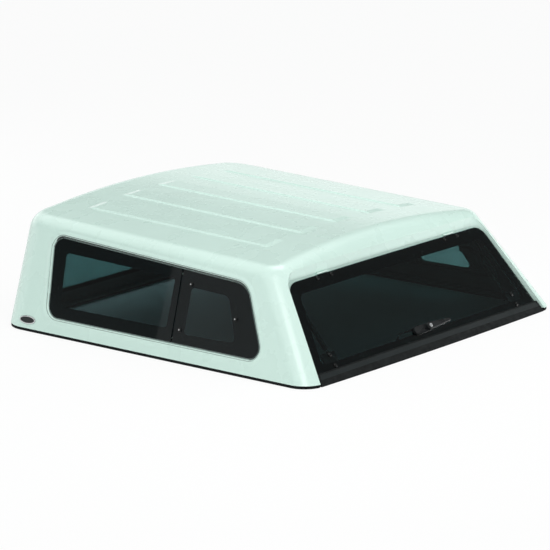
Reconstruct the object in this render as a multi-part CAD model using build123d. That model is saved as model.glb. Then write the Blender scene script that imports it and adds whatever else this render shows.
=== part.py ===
from build123d import *
from math import sin, cos, tan, atan2, radians, degrees, hypot
import os

# Fibreglass canopy for the tray of a pickup truck, all sizes in millimetres.
# +X is the vehicle's right, +Y is forward, +Z is up, and z = 0 is the underside of the
# rubber seal that lies on the tray rails.

# Shell
base_width = 1613.0
front_y = 767.5
rear_y = -801.0
roof_height = 446.5
roof_slope = 1.48
side_lean = 20.4
rear_lean = 35.6
front_lean = -3.4
wall = 5.0
roof_camber_radius = 4840.0
rear_bow_radius = 24160.0
rear_corner_low = 85.0
rear_corner_high = 95.0
front_corner_low = 116.0
front_corner_high = 139.0
roof_edge_radius = 75.0
base_flange = 42.0
least_radius = 4.0

# Base seal
seal_height = 12.0
seal_width = 34.0
seal_inset = 1.5

# Roof ribs
rib_count = 5
rib_pitch = 210.4
rib_width = 92.0
rib_rise = 4.5
rib_flank = 5.0
rib_front_gap = 179.8
rib_rear_gap = 474.0
rib_end_ramp = 26.0
rib_foot = 2.0
rib_rim_radius = 2.0

# Side windows, front pane and vent pane on each side
window_front_gap_low = 240.5
window_front_gap_high = 185.5
window_rear_gap_low = 258.0
window_rear_gap_high = 402.0
window_sill_z = 70.0
window_head_front_drop = 81.0
window_head_rear_drop = 123.0
window_radii = (58.0, 42.0, 92.0, 40.0)
window_gap = 2.5
window_bevel = 12.0
window_glass_depth = 4.5
window_glass_thickness = 4.0
window_gasket_thickness = 4.0
window_gasket_width = 14.0
window_ledge_width = 22.0
window_post_thickness = 5.0
pane_joint_y_low = -99.0
pane_joint_y_high = -77.0
pane_joint_gap = 6.0
window_post_width = 44.0
vent_button_radius = 9.0
vent_button_height = 3.0
vent_stem_radius = 3.5
vent_hinge_high = (52.0, 36.5)
vent_hinge_low = (33.0, 50.0)
vent_latch = (93.0, 127.0)
vent_strap_thickness = 2.5
vent_hinge_strap = (56.0, 18.0)
vent_hinge_strap_shift = -18.0
vent_latch_strap = (116.0, 16.0)
vent_latch_strap_shift = 44.0
vent_strap_radius = 6.0
gasket_set_back = 2.0

# Front window
front_window_pillar = 163.8
front_window_height = 263.0
front_window_drop = 116.5
front_window_radius = 46.0
front_glass_thickness = 4.0
front_glass_gap = 2.0
gasket_lip = 9.0
gasket_lip_thickness = 3.0
gasket_bite = 7.0

# Rear door opening and glass
door_top_drop = 100.5
door_pillar = 63.3
door_side_slope = 0.253
door_corner_radius = 62.0
door_glass_depth = 14.0
door_glass_thickness = 5.0
pocket_depth = 25.0
pocket_gap_side = 6.0
pocket_gap_top = 8.0
pocket_flare_side = 0.26
pocket_flare_top = 1.36
ledge_side = 40.0
ledge_top = 49.0
door_seal_width = 11.0
door_seal_side = 25.0
door_seal_top = 34.0
soft_gap = 0.3

# Rear door rail
rail_rise = 60.0
rail_depth = 6.0
rail_inner_depth = 26.0
rail_bottom_z = 5.0
rail_web = 4.0
rail_end_gap = 5.5
rail_inner_inset = 61.0
rail_seal_bottom_z = 0.3
rail_seal_width = 16.0
rail_seal_set_back = 1.0
rail_seal_end_gap = 2.5

# Rear door hinges
hinge_inset = 209.5
hinge_axis_y = 5.5
hinge_axis_depth = 18.5
hinge_pin_radius = 2.0
hinge_barrel_radius = 4.0
hinge_leaf_half = 52.0
hinge_leaf_low = -30.0
hinge_leaf_high = 6.0
hinge_leaf_drop = 1.0
hinge_web_thickness = 4.0
hinge_leaf_thickness = 2.0
hinge_barrel_half = 20.0
hinge_knuckle_length = 11.0
running_fit = 0.05
side_play = 0.5

# Handle and lock rods
handle_rise = 38.5
handle_base_left = -88.0
handle_base_right = 20.0
handle_base_height = 32.0
handle_base_thickness = 10.0
lever_length = 131.0
lever_hub_radius = 15.0
lever_tip_radius = 7.0
lever_thickness = 11.0
lever_edge_radius = 3.0
lock_radius = 8.0
lock_height = 3.0
spindle_radius = 5.0
spindle_clearance = 1.0
cam_depth = 68.0
cam_thickness = 4.0
cam_pin_throw = 22.0
cam_pin_radius = 3.0
cam_pin_spare = 2.0
cam_rod_gap = 1.0
handle_travel = 70.0
slot_play = 0.5
lock_rod_radius = 4.0
lock_rod_rise = 19.5
lock_rod_set_back = 12.0
lock_rod_bend_start = 110.0
lock_rod_bend_end = 170.0
lock_rod_bend_radius = 30.0
yoke_thickness = 4.0
yoke_half_width = 8.0
yoke_half_height = 9.0
striker_thickness = 10.0
striker_width = 30.0
striker_height = 20.0
striker_set_back = 1.0

# Gas struts
strut_inset = 67.0
strut_door_rise = 59.5
strut_door_depth = 34.0
strut_shell_radius = 120.0
strut_shell_angle = 20.0
strut_tube_radius = 9.0
strut_bore_radius = 6.5
strut_rod_radius = 4.0
strut_pin_radius = 4.0
strut_eye_width = 12.0
strut_gland = 10.0
strut_piston_gap = 3.0
strut_piston_length = 8.0
strut_tube_share = 0.86
clevis_gap = 18.0
clevis_plate = 3.0
clevis_half = 12.0
clevis_tip = 8.0
bracket_plate = 3.0
strut_arm_gap = 3.0
strut_arm_half = 13.0
strut_bracket_reach = 36.0
strut_bracket_margin = 8.0
latch_bracket_inset = 53.0
latch_bracket_width = 83.0
latch_bracket_high = 71.5
latch_bracket_low = 1.5
latch_bracket_radius = 8.0
rod_guide_inset = 14.0
rod_guide_half = 9.0

# Blank oval plate at the front of the left side
badge_gap = 144.5
badge_z = 43.0
badge_length = 80.0
badge_height = 32.0
badge_thickness = 2.0

# Building aids: reach of the cutting bodies, spare depth of cuts, and how far joined pieces
# run into each other
big = 1000.0
overcut = 1.0
weld = 1.0


def side_half(z, inset):
    """Half width of the shell at a height, measured to a surface inset from the outside."""
    lean = radians(side_lean)
    return base_width / 2 - z * tan(lean) - inset / cos(lean)


# Places that follow from the sizes of the shell
rib_front_y = front_y - rib_front_gap
rib_rear_y = rear_y + rib_rear_gap
window_front_y_low = front_y - window_front_gap_low
window_front_y_high = front_y - window_front_gap_high
window_rear_y_low = rear_y + window_rear_gap_low
window_rear_y_high = rear_y + window_rear_gap_high
window_head_front_z = roof_height - window_head_front_drop
window_head_rear_z = roof_height - window_head_rear_drop
front_window_head_z = roof_height - front_window_drop
front_window_sill_z = front_window_head_z - front_window_height
front_window_width = 2 * (side_half(front_window_head_z, 0) - front_window_pillar)
badge_y = front_y - badge_gap
window_floor = window_glass_depth + window_glass_thickness + window_gasket_thickness
post_back = window_glass_depth + window_glass_thickness + window_post_thickness

door_top_z = roof_height - door_top_drop
door_y_at_top = rear_y + door_top_z * tan(radians(rear_lean))
door_half_top = side_half(door_top_z, 0) - door_pillar
door_bow_radius = rear_bow_radius / cos(radians(rear_lean))
door_foot = -door_top_z / cos(radians(rear_lean))
ledge_depth = pocket_depth + wall
glass_back = door_glass_depth + door_glass_thickness


def door_half(y):
    """Half width of the door glass at a distance along the slope, zero at its top edge."""
    return door_half_top - door_side_slope * y


# Places on the rear door, in its own frame
rail_top = door_foot + rail_rise
door_low = door_foot - 2 * rail_rise
handle_y = rail_top + handle_rise
lock_rod_y = rail_top + lock_rod_rise
lock_rod_tip = door_half(lock_rod_y) - ledge_side - lock_rod_set_back
rod_z = -cam_depth + cam_rod_gap + lock_rod_radius
latch_top = rail_top + latch_bracket_high
latch_low = rail_top + latch_bracket_low
latch_outer = door_half(latch_top) - latch_bracket_inset
rod_guide_x = latch_outer - rod_guide_inset
strut_x = latch_outer - strut_inset
strut_door_y = rail_top + strut_door_rise
hinge_x = door_half_top - hinge_inset
lever_foot = -door_glass_depth + handle_base_thickness + soft_gap
lever_top = lever_foot + lever_thickness


def section(z, inset):
    """Horizontal section of the shell form: bowed rear, straight sides and front."""
    half = side_half(z, inset)
    rear = rear_y + z * tan(radians(rear_lean)) + inset / cos(radians(rear_lean))
    front = front_y - z * tan(radians(front_lean)) - inset / cos(radians(front_lean))
    bow = half ** 2 / (2 * rear_bow_radius)
    share = z / roof_height
    rear_radius = rear_corner_low + (rear_corner_high - rear_corner_low) * share
    front_radius = front_corner_low + (front_corner_high - front_corner_low) * share
    edges = [
        ThreePointArc((-half, rear + bow), (0, rear), (half, rear + bow)),
        Line((half, rear + bow), (half, front)),
        Line((half, front), (-half, front)),
        Line((-half, front), (-half, rear + bow)),
    ]
    face = Sketch() + make_face(edges)
    corners = face.vertices().sort_by(Axis.Y)[:2]
    face = fillet(corners, max(rear_radius - inset, least_radius))
    corners = face.vertices().sort_by(Axis.Y)[-2:]
    face = fillet(corners, max(front_radius - inset, least_radius))
    return Pos(0, 0, z) * face


def on_roof(solid):
    """Turn and lift a solid made with the roof's crown line on the Y axis."""
    return Pos(0, 0, roof_height) * Rot(roof_slope, 0, 0) * solid


def roof_space(inset):
    """Everything above the cambered roof, which falls a little towards the rear."""
    drop = big ** 2 / (2 * (roof_camber_radius - inset))
    outline = [
        ThreePointArc((-big, -inset - drop), (0, -inset), (big, -inset - drop)),
        Line((big, -inset - drop), (big, big)),
        Line((big, big), (-big, big)),
        Line((-big, big), (-big, -inset - drop)),
    ]
    return on_roof(extrude(Plane.XZ * make_face(outline), amount=2 * big, both=True))


def form(inset, bottom):
    """Closed body of the shell's shape, inset from the outer surface."""
    above = roof_height + roof_edge_radius
    body = loft([section(bottom, inset).face(), section(above, inset).face()], ruled=True)
    body = body - roof_space(inset)
    roof = body.faces().sort_by(Axis.Z)[-1]
    return fillet(roof.edges(), roof_edge_radius - inset)


def side_plane():
    """Plane on the left side wall: local x runs rearward, local y up the slope."""
    lean = radians(side_lean)
    return Plane(
        origin=(-base_width / 2, 0, 0), x_dir=(0, -1, 0), z_dir=(-cos(lean), 0, sin(lean))
    )


def up_side(z):
    return z / cos(radians(side_lean))


def window_outline(grow):
    """Side window outline with four different corner radii, grown outward."""
    low = up_side(window_sill_z)
    corners = [
        (-window_front_y_low, low),
        (-window_front_y_high, up_side(window_head_front_z)),
        (-window_rear_y_high, up_side(window_head_rear_z)),
        (-window_rear_y_low, low),
    ]
    face = Sketch() + make_face(Polyline(*corners, close=True).edges())
    for (x, y), radius in zip(corners, window_radii):
        corner = face.vertices().sort_by_distance((x, y, 0))[0]
        face = fillet(corner, radius)
    if grow:
        face = offset(face, amount=grow, kind=Kind.ARC)
    return face


def plate(plane, face, depth, thickness):
    """Flat plate of the given outline, from depth to depth + thickness below a plane."""
    return plane * (Pos(0, 0, -depth - thickness) * extrude(face, amount=thickness))


def band(plane, grow_out, grow_in, depth, thickness):
    """Flat ring that follows the side window outline."""
    return plate(plane, window_outline(grow_out), depth, thickness) - plate(
        plane, window_outline(grow_in), depth - overcut, thickness + 2 * overcut
    )


def window_flare(shift):
    """Space over the bevel round the side window, shifted inward."""
    levels = []
    for depth in (-wall / 2, window_glass_depth):
        grow = window_bevel * (1 - depth / window_glass_depth)
        place = Pos(0, 0, -depth - shift)
        levels.append((place * window_outline(window_gap + grow)).face())
    return side_plane() * loft(levels, ruled=True)


def window_seat():
    """Joggled ledge that the side window lies on, before its hole is cut."""
    outline = window_outline(window_gap + wall)
    ledge = plate(side_plane(), outline, wall / 2, window_floor + wall / 2)
    return ledge + window_flare(wall)


def window_cut():
    plane = side_plane()
    pocket = plate(plane, window_outline(window_gap), -wall, window_floor + wall)
    hole = plate(plane, window_outline(-window_ledge_width), -wall, 12 * wall)
    return pocket + hole + window_flare(0)


def front_plane():
    """Plane on the front wall: local x runs to the left, local y up the slope."""
    lean = radians(front_lean)
    return Plane(origin=(0, front_y, 0), x_dir=(-1, 0, 0), z_dir=(0, cos(lean), sin(lean)))


def front_outline(grow):
    slope = cos(radians(front_lean))
    low = front_window_sill_z / slope
    high = front_window_head_z / slope
    face = RectangleRounded(
        front_window_width + 2 * grow, high - low + 2 * grow, front_window_radius + grow
    )
    return Pos(0, (low + high) / 2) * face


door_plane = Plane(
    origin=(0, door_y_at_top, door_top_z),
    x_dir=(1, 0, 0),
    z_dir=(0, -cos(radians(rear_lean)), sin(radians(rear_lean))),
)


def sag(x):
    """How far the bowed rear surface lies inside the flat door plane."""
    return x ** 2 / (2 * door_bow_radius)


def door_outline(grow, rise, curve=0.0):
    """Door outline: straight leaning sides, rounded top corners, top edge arched by curve."""
    top = door_half(rise) + grow
    bottom = door_half(door_low) + grow
    edges = [
        Line((-bottom, door_low), (bottom, door_low)),
        Line((bottom, door_low), (top, rise + curve)),
        Line((-top, rise + curve), (-bottom, door_low)),
    ]
    if curve:
        edges.append(ThreePointArc((top, rise + curve), (0, rise), (-top, rise + curve)))
    else:
        edges.append(Line((top, rise), (-top, rise)))
    face = Sketch() + make_face(edges)
    corners = face.vertices().sort_by(Axis.Y)[-2:]
    return fillet(corners, door_corner_radius + grow)


def deeper(depth):
    """All space more than depth inside the bowed rear surface, in the door's own frame."""
    radius = door_bow_radius - depth
    drop = big ** 2 / (2 * radius)
    outline = [
        ThreePointArc((-big, -depth - drop), (0, -depth), (big, -depth - drop)),
        Line((big, -depth - drop), (big, -big)),
        Line((big, -big), (-big, -big)),
        Line((-big, -big), (-big, -depth - drop)),
    ]
    return extrude(Plane.XZ * make_face(outline), amount=big, both=True)


def bowed(face, depth, thickness):
    """Plate that follows the bow of the door, between two depths, in the door's own frame."""
    block = Pos(0, 0, -big / 5) * extrude(face, amount=2 * big / 5)
    return (block & deeper(depth)) - deeper(depth + thickness)


def pocket(skin):
    """Flared recess round the door; skin thickens it outward."""
    curve = pocket_flare_top * sag(door_half_top)
    levels = []
    for depth in (-2 * pocket_depth, 3 * pocket_depth):
        side = pocket_gap_side + pocket_flare_side * (pocket_depth - depth) + skin
        rise = pocket_gap_top + pocket_flare_top * (pocket_depth - depth) + skin
        levels.append(Pos(0, 0, -depth) * door_outline(side, rise, curve).face())
    return loft(levels, ruled=True)


def door_opening():
    face = door_outline(-ledge_side, -ledge_top)
    return Pos(0, 0, -big / 5) * extrude(face, amount=2 * big / 5)


def rib(index):
    """One shallow raised roof rib with ramped ends, square to the cambered roof."""
    x = (index - (rib_count - 1) / 2) * rib_pitch
    turn = degrees(atan2(x, roof_camber_radius))
    length = rib_front_y - rib_rear_y
    sink = rib_foot / rib_rise
    low = Rectangle(rib_width + 2 * rib_flank * sink, length + 2 * rib_end_ramp * sink)
    high = Rectangle(rib_width - 2 * rib_flank, length - 2 * rib_end_ramp)
    levels = [(Pos(0, 0, -rib_foot) * low).face(), (Pos(0, 0, rib_rise) * high).face()]
    body = loft(levels, ruled=True)
    rim = body.edges().filter_by(Axis.Z, reverse=True).group_by(Axis.Z)[-1]
    body = Pos(0, 0, roof_camber_radius) * fillet(rim, rib_rim_radius)
    place = Pos(0, (rib_front_y + rib_rear_y) / 2, -roof_camber_radius) * Rot(0, turn, 0)
    return on_roof(place * body)


def shell():
    outer = form(0, seal_height)
    hollow = form(wall, seal_height + wall)
    body = outer - hollow
    mouth = section(seal_height, wall + base_flange).face()
    body -= Pos(0, 0, -wall) * extrude(mouth, amount=4 * wall)
    for index in range(rib_count):
        body += rib(index)
    seat = window_seat()
    hole = window_cut()
    body += seat
    body += mirror(seat, about=Plane.YZ)
    body -= hole
    body -= mirror(hole, about=Plane.YZ)
    body -= plate(front_plane(), front_outline(0), -wall, 4 * wall)
    skin = (door_plane * (pocket(wall) - deeper(ledge_depth))) & outer
    body += skin
    body -= door_plane * (pocket(0) - deeper(pocket_depth))
    body -= door_plane * door_opening()
    return body


def base_seal():
    """Rubber strip under the base flange, open across the rear door."""
    inset = seal_inset
    outline = section(seal_height, inset).face()
    core = section(seal_height, inset + seal_width).face()
    strip = Pos(0, 0, -seal_height) * extrude(outline, amount=seal_height)
    strip -= Pos(0, 0, -2 * seal_height) * extrude(core, amount=4 * seal_height)
    gate = 2 * (door_half(door_foot) + pocket_gap_side)
    strip -= Pos(0, rear_y, 0) * Box(gate, 6 * seal_width, 4 * seal_height)
    split = front_y - 2 * front_corner_low
    ahead = Pos(0, split + big, 0) * Box(2 * big, 2 * big, 4 * seal_height)
    front = strip & ahead
    rest = strip - ahead
    left = rest & Pos(-big, 0, 0) * Box(2 * big, 4 * big, 4 * seal_height)
    return front, left, mirror(left, about=Plane.YZ)


def joint_y(z):
    """Place of the joint between the panes at a height."""
    share = (z - window_sill_z) / (window_head_front_z - window_sill_z)
    return pane_joint_y_low + (pane_joint_y_high - pane_joint_y_low) * share


def window_rear_y(z):
    """Place of the side window's rear edge at a height."""
    share = (z - window_sill_z) / (window_head_rear_z - window_sill_z)
    return window_rear_y_low + (window_rear_y_high - window_rear_y_low) * share


def joint_line(shift):
    """Line between the panes in the side plane, shifted rearward, past both edges."""
    low = window_sill_z - window_ledge_width
    high = window_head_front_z + window_ledge_width
    return (shift - joint_y(low), up_side(low)), (shift - joint_y(high), up_side(high))


def side_area(near, far):
    """Area of the side plane between two shifted joint lines, or out to a far edge."""
    (a, b), (c, d) = near, far
    return make_face(Polyline(a, b, d, c, close=True).edges())


def far_edge(line, x):
    foot, head = line
    return (x, foot[1]), (x, head[1])


def side_window():
    """Panes, gasket and post of the left side, by name."""
    plane = side_plane()
    depth = window_glass_depth
    under = depth + window_glass_thickness
    thick = window_glass_thickness + 2 * overcut
    glass = plate(plane, window_outline(0), depth, window_glass_thickness)
    ahead = joint_line(-pane_joint_gap / 2)
    behind = joint_line(pane_joint_gap / 2)
    front_area = side_area(ahead, far_edge(ahead, -big))
    rear_area = side_area(behind, far_edge(behind, big))
    post_area = side_area(joint_line(-window_post_width / 2), joint_line(window_post_width / 2))
    inside = window_outline(-window_ledge_width - soft_gap)
    post = plate(plane, inside, under, window_post_thickness)
    post &= plate(plane, post_area, under, window_post_thickness)
    inner_edge = -gasket_set_back - window_gasket_width
    return {
        "front_pane": glass & plate(plane, front_area, depth - overcut, thick),
        "vent_pane": glass & plate(plane, rear_area, depth - overcut, thick),
        "window_gasket": band(plane, -gasket_set_back, inner_edge, under, window_gasket_thickness),
        "window_post": post,
    }


def mirrored(parts):
    """Left and right copies of a set of pieces, named by side."""
    both = {}
    for name, solid in parts.items():
        both["left_" + name] = solid
        both["right_" + name] = mirror(solid, about=Plane.YZ)
    return both


def vent_fixing(point, back, size, shift):
    """Round head on the pane, stem through it and strap behind, and the stem's hole."""
    plane = side_plane()
    depth = window_glass_depth
    place = Pos(-point[0], up_side(point[1]))
    head = place * Circle(vent_button_radius)
    stem = plate(plane, place * Circle(vent_stem_radius), depth, back - depth)
    strap = place * (Pos(shift) * RectangleRounded(*size, vent_strap_radius))
    solid = plate(plane, head, depth - vent_button_height, vent_button_height) + stem
    return solid + plate(plane, strap, back, vent_strap_thickness), stem


def vent_fittings(parts):
    """Adds the two hinges and the latch of the vent pane, which gets their holes."""
    high_z = window_head_rear_z - vent_hinge_high[1]
    low_z = window_sill_z + vent_hinge_low[1]
    latch_z = window_sill_z + vent_latch[1]
    high_point = (joint_y(high_z) - vent_hinge_high[0], high_z)
    low_point = (joint_y(low_z) - vent_hinge_low[0], low_z)
    latch_point = (window_rear_y(latch_z) + vent_latch[0], latch_z)
    hinges = []
    for point in (high_point, low_point):
        fixing, stem = vent_fixing(point, post_back, vent_hinge_strap, vent_hinge_strap_shift)
        parts["vent_pane"] -= stem
        hinges.append(fixing)
    back = window_floor + wall
    latch, stem = vent_fixing(latch_point, back, vent_latch_strap, vent_latch_strap_shift)
    parts["vent_pane"] -= stem
    parts["vent_hinges"] = hinges[0] + hinges[1]
    parts["vent_latch"] = latch
    return parts


def front_window():
    plane = front_plane()
    middle = (wall - front_glass_thickness) / 2
    glass = plate(plane, front_outline(-front_glass_gap), middle, front_glass_thickness)
    thick = wall + 2 * gasket_lip_thickness
    gasket = plate(plane, front_outline(gasket_lip), -gasket_lip_thickness, thick)
    gasket -= plate(plane, front_outline(-gasket_bite), -wall, 4 * wall)
    gasket -= plate(plane, front_outline(2 * gasket_lip), 0, wall) - plate(
        plane, front_outline(0), 0, wall
    )
    gasket -= glass
    return glass, gasket


def in_door(solid):
    return door_plane * solid


def rod_along_x(start, end, radius, y, z):
    """Round bar parallel to X in the door's own frame."""
    bar = Pos((start + end) / 2, y, z) * Rot(0, 90, 0) * Cylinder(radius, abs(end - start))
    return bar


def above_floor(z):
    """All space above a height, as a solid."""
    return Pos(0, 0, z + big / 2) * Box(4 * big, 4 * big, big)


def door_glass():
    glass = bowed(door_outline(0, 0), door_glass_depth, door_glass_thickness)
    glass -= Pos(0, handle_y, 0) * Cylinder(spindle_radius + spindle_clearance, big / 5)
    return in_door(glass) & above_floor(rail_bottom_z + rail_web)


def rail_half(y):
    """Half width of the rail at a distance along the slope."""
    return door_half(y) + pocket_gap_side - rail_end_gap


def door_rail():
    high = rail_half(rail_top)
    low = rail_half(door_low)
    corners = [(-high, rail_top), (high, rail_top), (low, door_low), (-low, door_low)]
    outer = make_face(Polyline(*corners, close=True).edges())
    inner_half = door_half(rail_top) - rail_inner_inset
    inner = Pos(0, (rail_top + door_low) / 2) * Rectangle(2 * inner_half, rail_top - door_low)
    body = bowed(outer, rail_depth, glass_back - rail_depth)
    body += bowed(inner, glass_back, rail_inner_depth - glass_back)
    body = in_door(body) & above_floor(rail_bottom_z)
    return body - door_glass()


def door_rail_seal():
    half = rail_half(door_foot) - rail_seal_end_gap
    face = Pos(0, (rail_top + door_low) / 2) * Rectangle(2 * half, rail_top - door_low)
    body = in_door(bowed(face, rail_depth + rail_seal_set_back, rail_seal_width))
    return (body & above_floor(rail_seal_bottom_z)) - above_floor(rail_bottom_z)


def door_seal():
    depth = glass_back + soft_gap
    thickness = pocket_depth - depth
    outer = door_outline(-door_seal_side, -door_seal_top)
    inner = door_outline(-door_seal_side - door_seal_width, -door_seal_top - door_seal_width)
    ring = bowed(outer, depth, thickness)
    ring -= bowed(inner, depth - overcut, thickness + 2 * overcut)
    return in_door(ring) & above_floor(seal_height)


hinge_z = -hinge_axis_depth - sag(hinge_x)


def hinge_fixed_leaf(x):
    face = Pos(x, (hinge_leaf_low + hinge_leaf_high) / 2) * Rectangle(
        2 * hinge_leaf_half, hinge_leaf_high - hinge_leaf_low
    )
    leaf = bowed(face, pocket_depth - hinge_leaf_thickness, hinge_leaf_thickness)
    for side in (-1, 1):
        start = x + side * (hinge_barrel_half + side_play)
        end = start + side * hinge_knuckle_length
        leaf += rod_along_x(start, end, hinge_barrel_radius, hinge_axis_y, hinge_z)
        floor = -pocket_depth - sag(x) + weld
        leaf += Pos((start + end) / 2, hinge_axis_y, (hinge_z + floor) / 2) * Box(
            hinge_knuckle_length, hinge_web_thickness, hinge_z - floor
        )
    free = hinge_barrel_half + side_play
    leaf -= rod_along_x(
        x - free, x + free, hinge_barrel_radius + side_play, hinge_axis_y, hinge_z
    )
    reach = free + hinge_knuckle_length
    leaf += rod_along_x(x - reach, x + reach, hinge_pin_radius, hinge_axis_y, hinge_z)
    return in_door(leaf)


def hinge_door_leaf(x):
    """Leaf under the glass with a narrower tongue up to its barrel."""
    top = -hinge_leaf_drop
    wide = Pos(x, (hinge_leaf_low + top) / 2) * Rectangle(2 * hinge_leaf_half, top - hinge_leaf_low)
    tongue_low = top - weld
    tongue_high = hinge_axis_y - hinge_pin_radius
    tongue = Pos(x, (tongue_low + tongue_high) / 2) * Rectangle(
        2 * hinge_barrel_half, tongue_high - tongue_low
    )
    leaf = bowed(Sketch() + wide + tongue, glass_back + soft_gap, hinge_leaf_thickness)
    leaf += rod_along_x(
        x - hinge_barrel_half, x + hinge_barrel_half, hinge_barrel_radius, hinge_axis_y, hinge_z
    )
    leaf -= rod_along_x(
        x - big / 5, x + big / 5, hinge_pin_radius + running_fit, hinge_axis_y, hinge_z
    )
    return in_door(leaf)


def handle_base():
    width = handle_base_right - handle_base_left
    centre = (handle_base_right + handle_base_left) / 2
    face = Pos(centre, handle_y) * SlotOverall(width, handle_base_height)
    body = bowed(face, door_glass_depth - handle_base_thickness, handle_base_thickness)
    body -= Pos(0, handle_y, 0) * Cylinder(spindle_radius + running_fit, big / 5)
    return in_door(body)


def handle_lever():
    """Tapered lever with a hub, and the spindle through the glass to the cam."""
    hub = Circle(lever_hub_radius)
    tip = Pos(lever_length - lever_tip_radius, 0) * Circle(lever_tip_radius)
    arm = make_hull((Sketch() + hub + tip).edges())
    body = Pos(0, handle_y, lever_foot) * extrude(arm, amount=lever_thickness)
    top = body.faces().sort_by(Axis.Z)[-1]
    body = fillet(top.edges(), lever_edge_radius)
    far = -cam_depth - cam_thickness
    body += Pos(0, handle_y, (lever_foot + far) / 2) * Cylinder(spindle_radius, lever_foot - far)
    return in_door(body)


def lock_barrel():
    body = Pos(0, handle_y, lever_top + lock_height / 2) * Cylinder(lock_radius, lock_height)
    return in_door(body)


def cam_pin(side):
    """Place of one drive pin, side +1 above the spindle and -1 below, with the lever at rest."""
    start = radians(90 - handle_travel / 2)
    return side * cam_pin_throw * cos(start), side * cam_pin_throw * sin(start)


def lock_cam():
    face = Circle(cam_pin_throw + 2 * cam_pin_radius)
    body = Pos(0, handle_y, -cam_depth - cam_thickness) * extrude(face, amount=cam_thickness)
    for side in (-1, 1):
        x, y = cam_pin(side)
        reach = lock_rod_radius + yoke_thickness / 2 + cam_pin_spare
        body += Pos(x, handle_y + y, -cam_depth + reach / 2) * Cylinder(cam_pin_radius, reach)
    body -= Pos(0, handle_y, -cam_depth) * Cylinder(spindle_radius, big / 5)
    return in_door(body)


def lock_rod(side):
    """Lock rod to one side, +1 right: slotted yoke over a cam pin, a set, and the long run."""
    pin_x, pin_y = cam_pin(-side)
    swing = cam_pin_throw - abs(pin_y)
    y_in = handle_y - side * (abs(pin_y) + swing / 2)
    yoke = Pos(pin_x, y_in, rod_z) * Box(2 * yoke_half_width, 2 * yoke_half_height, yoke_thickness)
    slot = Box(
        2 * (cam_pin_radius + slot_play),
        swing + 2 * (cam_pin_radius + slot_play),
        2 * yoke_thickness,
    )
    path = FilletPolyline(
        (pin_x + side * (yoke_half_width - weld), y_in, rod_z),
        (side * lock_rod_bend_start, y_in, rod_z),
        (side * lock_rod_bend_end, lock_rod_y, rod_z),
        (side * lock_rod_tip, lock_rod_y, rod_z),
        radius=lock_rod_bend_radius,
    )
    bar = sweep(Plane(origin=path @ 0, z_dir=path % 0) * Circle(lock_rod_radius), path=path)
    return in_door((yoke + bar) - Pos(pin_x, y_in, rod_z) * slot)


def striker():
    """Right-hand block behind the jamb ledge that the lock rod turns out behind."""
    edge = door_half(lock_rod_y) - ledge_side + striker_set_back
    face = Pos(edge + striker_width / 2, lock_rod_y) * Rectangle(striker_width, striker_height)
    return in_door(bowed(face, ledge_depth, striker_thickness))


def latch_bracket():
    """Right-hand bracket on the door glass: strut clevis and guide of the lock rod."""
    face = Pos(latch_outer - latch_bracket_width / 2, (latch_top + latch_low) / 2)
    face *= RectangleRounded(latch_bracket_width, latch_top - latch_low, latch_bracket_radius)
    body = bowed(face, glass_back, bracket_plate)
    root = -glass_back - sag(strut_x) - weld
    clevis_low = -strut_door_depth - sag(strut_x) - clevis_tip
    for side in (-1, 1):
        x = strut_x + side * (clevis_gap + clevis_plate) / 2
        body += Pos(x, strut_door_y, (root + clevis_low) / 2) * Box(
            clevis_plate, 2 * clevis_half, root - clevis_low
        )
    guide_root = -glass_back - sag(rod_guide_x + bracket_plate) - weld
    guide_low = rod_z - lock_rod_radius - bracket_plate
    body += Pos(rod_guide_x, lock_rod_y, (guide_root + guide_low) / 2) * Box(
        bracket_plate, 2 * rod_guide_half, guide_root - guide_low
    )
    near = rod_guide_x - rod_guide_half
    far = rod_guide_x + rod_guide_half
    body -= rod_along_x(near, far, lock_rod_radius + running_fit, lock_rod_y, rod_z)
    return in_door(body)


def strut_points():
    """Shell pivot and door pivot of the gas strut in the door's own frame, as (y, z)."""
    door = (strut_door_y, -strut_door_depth - sag(strut_x))
    turn = radians(strut_shell_angle)
    home = (
        hinge_axis_y - strut_shell_radius * cos(turn),
        hinge_z - strut_shell_radius * sin(turn),
    )
    return home, door


def strut_frame():
    """Plane at the shell pivot whose local x runs along the strut towards the door pivot."""
    home, door = strut_points()
    x_dir = (0, door[0] - home[0], door[1] - home[1])
    return Plane(origin=(strut_x, home[0], home[1]), x_dir=x_dir, z_dir=(1, 0, 0))


def strut_length():
    home, door = strut_points()
    return hypot(door[0] - home[0], door[1] - home[1])


def strut_bracket():
    """Right-hand bracket behind the jamb ledge that carries the strut's fixed pivot."""
    (y, z), door = strut_points()
    inner = strut_x + strut_eye_width / 2 + strut_arm_gap
    outer = door_half(y) - ledge_side + strut_bracket_reach
    height = 2 * (strut_arm_half + strut_bracket_margin)
    face = Pos((inner + outer) / 2, y) * Rectangle(outer - inner, height)
    body = bowed(face, ledge_depth, bracket_plate)
    root = -ledge_depth - sag(strut_x) - weld
    low = z - strut_tube_radius
    body += Pos(inner + bracket_plate / 2, y, (root + low) / 2) * Box(
        bracket_plate, 2 * strut_arm_half, root - low
    )
    body += rod_along_x(strut_x - strut_eye_width / 2, inner + weld, strut_pin_radius, y, z)
    return in_door(body)


def along_strut(start, end, radius):
    """Round bar along the strut, between two distances from the shell pivot."""
    return Rot(0, 90, 0) * Pos(0, 0, (start + end) / 2) * Cylinder(radius, end - start)


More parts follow.
